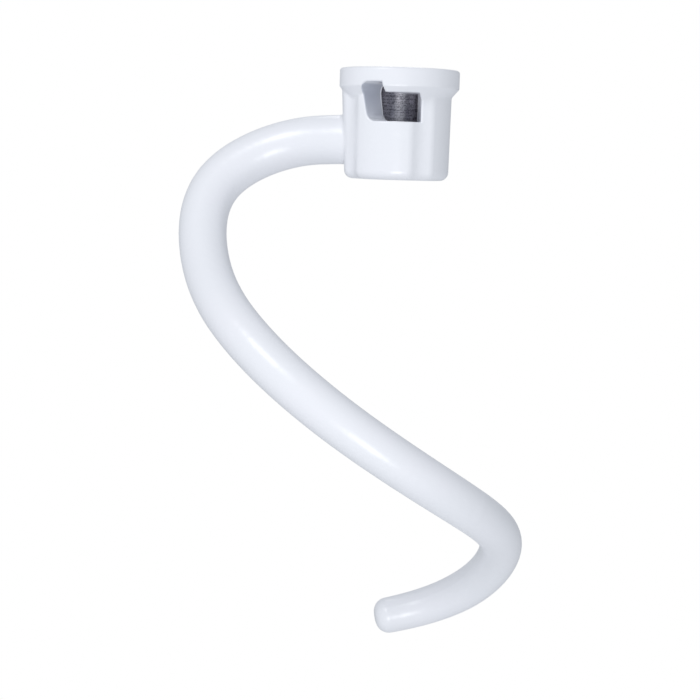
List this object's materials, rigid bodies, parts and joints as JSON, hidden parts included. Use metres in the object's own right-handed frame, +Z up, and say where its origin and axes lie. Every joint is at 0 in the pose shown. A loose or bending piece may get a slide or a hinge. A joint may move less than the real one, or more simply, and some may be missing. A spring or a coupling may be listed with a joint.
{
  "type": "stand mixer dough hook",
  "caption": "One-piece spiral dough hook: a fluted collar with a drive bore and pin window, and a tapered arm that winds below it to knead dough.",
  "frame": {"origin": "centre of the drive bore's mouth, in the plane of the rim's top face", "axes": "+Z up along the drive shaft, -Y out of the pin window, -X along the arm where it leaves the collar"},
  "size_m": [0.1241, 0.104, 0.2096],
  "materials": {
    "coated_casting": "satin"
  },
  "bodies": {
    "root": {"dough_hook": "coated_casting"}
  },
  "joints": []
}
